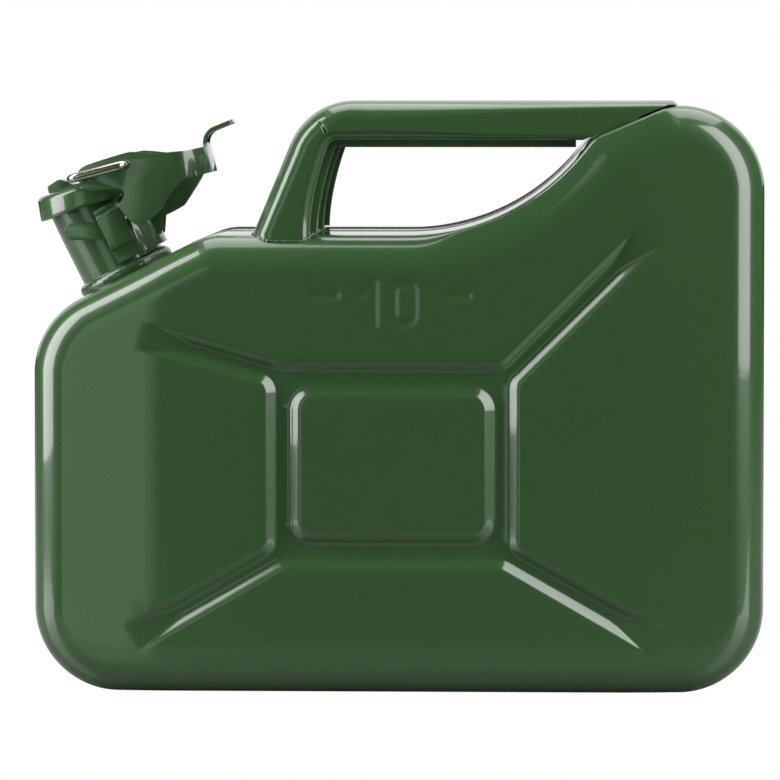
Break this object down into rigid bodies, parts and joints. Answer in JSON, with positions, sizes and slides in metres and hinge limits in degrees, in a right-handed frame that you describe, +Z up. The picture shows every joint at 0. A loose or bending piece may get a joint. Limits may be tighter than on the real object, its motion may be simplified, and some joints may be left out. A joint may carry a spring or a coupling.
{
  "type": "jerry can",
  "caption": "Steel fuel jerry can with parallel carrying handles, pressed panels, a tilted filler neck and a hinged lid with clamping lever and wire bail.",
  "frame": {"origin": "on the ground under the middle of the whole part, halfway along its length and its depth", "axes": "+Z up, +X along the can from the filler neck to the air chamber, +Y through the depth, away from the pictured face"},
  "size_m": [0.3512, 0.165, 0.2794],
  "materials": {
    "green_paint": "glossy dark green enamel over pressed steel",
    "weld_paint": "the same enamel over a rougher weld bead",
    "zinc": "bright zinc-plated steel wire and pins",
    "rubber_seal": "matte black fuel-resistant rubber"
  },
  "bodies": {
    "can": {"body_half_front": "green_paint", "body_half_rear": "green_paint", "seam_weld": "weld_paint", "handle_front": "green_paint", "handle_middle": "green_paint", "handle_rear": "green_paint", "neck_tube": "green_paint", "neck_collar": "weld_paint", "hinge_bracket": "green_paint", "hinge_pin": "zinc", "neck_strap_front": "green_paint", "neck_strap_rear": "green_paint", "neck_lug_front": "green_paint", "neck_lug_rear": "green_paint", "breather_tube": "zinc"},
    "lid": {"lid_cap": "green_paint", "lid_gasket": "rubber_seal", "lid_bridge": "green_paint", "lever_pin": "green_paint"},
    "lever": {"lever": "green_paint"},
    "bail": {"locking_bail": "zinc"}
  },
  "joints": [
    {"name": "lid_hinge", "type": "hinge", "parent": "can", "child": "lid", "pos_m": [-0.11817, 0, 0.22938], "axis": [0, 1, 0], "range_deg": [0, 90]},
    {"name": "lever_pivot", "type": "hinge", "parent": "lid", "child": "lever", "pos_m": [-0.14553, 0, 0.24332], "axis": [0, 1, 0], "range_deg": [-117, 0]},
    {"name": "bail_pivot", "type": "hinge", "parent": "lever", "child": "bail", "pos_m": [-0.12916, 0, 0.24874], "axis": [0, 1, 0], "range_deg": [0, 150]}
  ],
  "couplings": [
    {"joint": "lever_pivot", "follows": "lid_hinge", "ratio": -1.3},
    {"joint": "bail_pivot", "follows": "lid_hinge", "ratio": 1.6666}
  ]
}
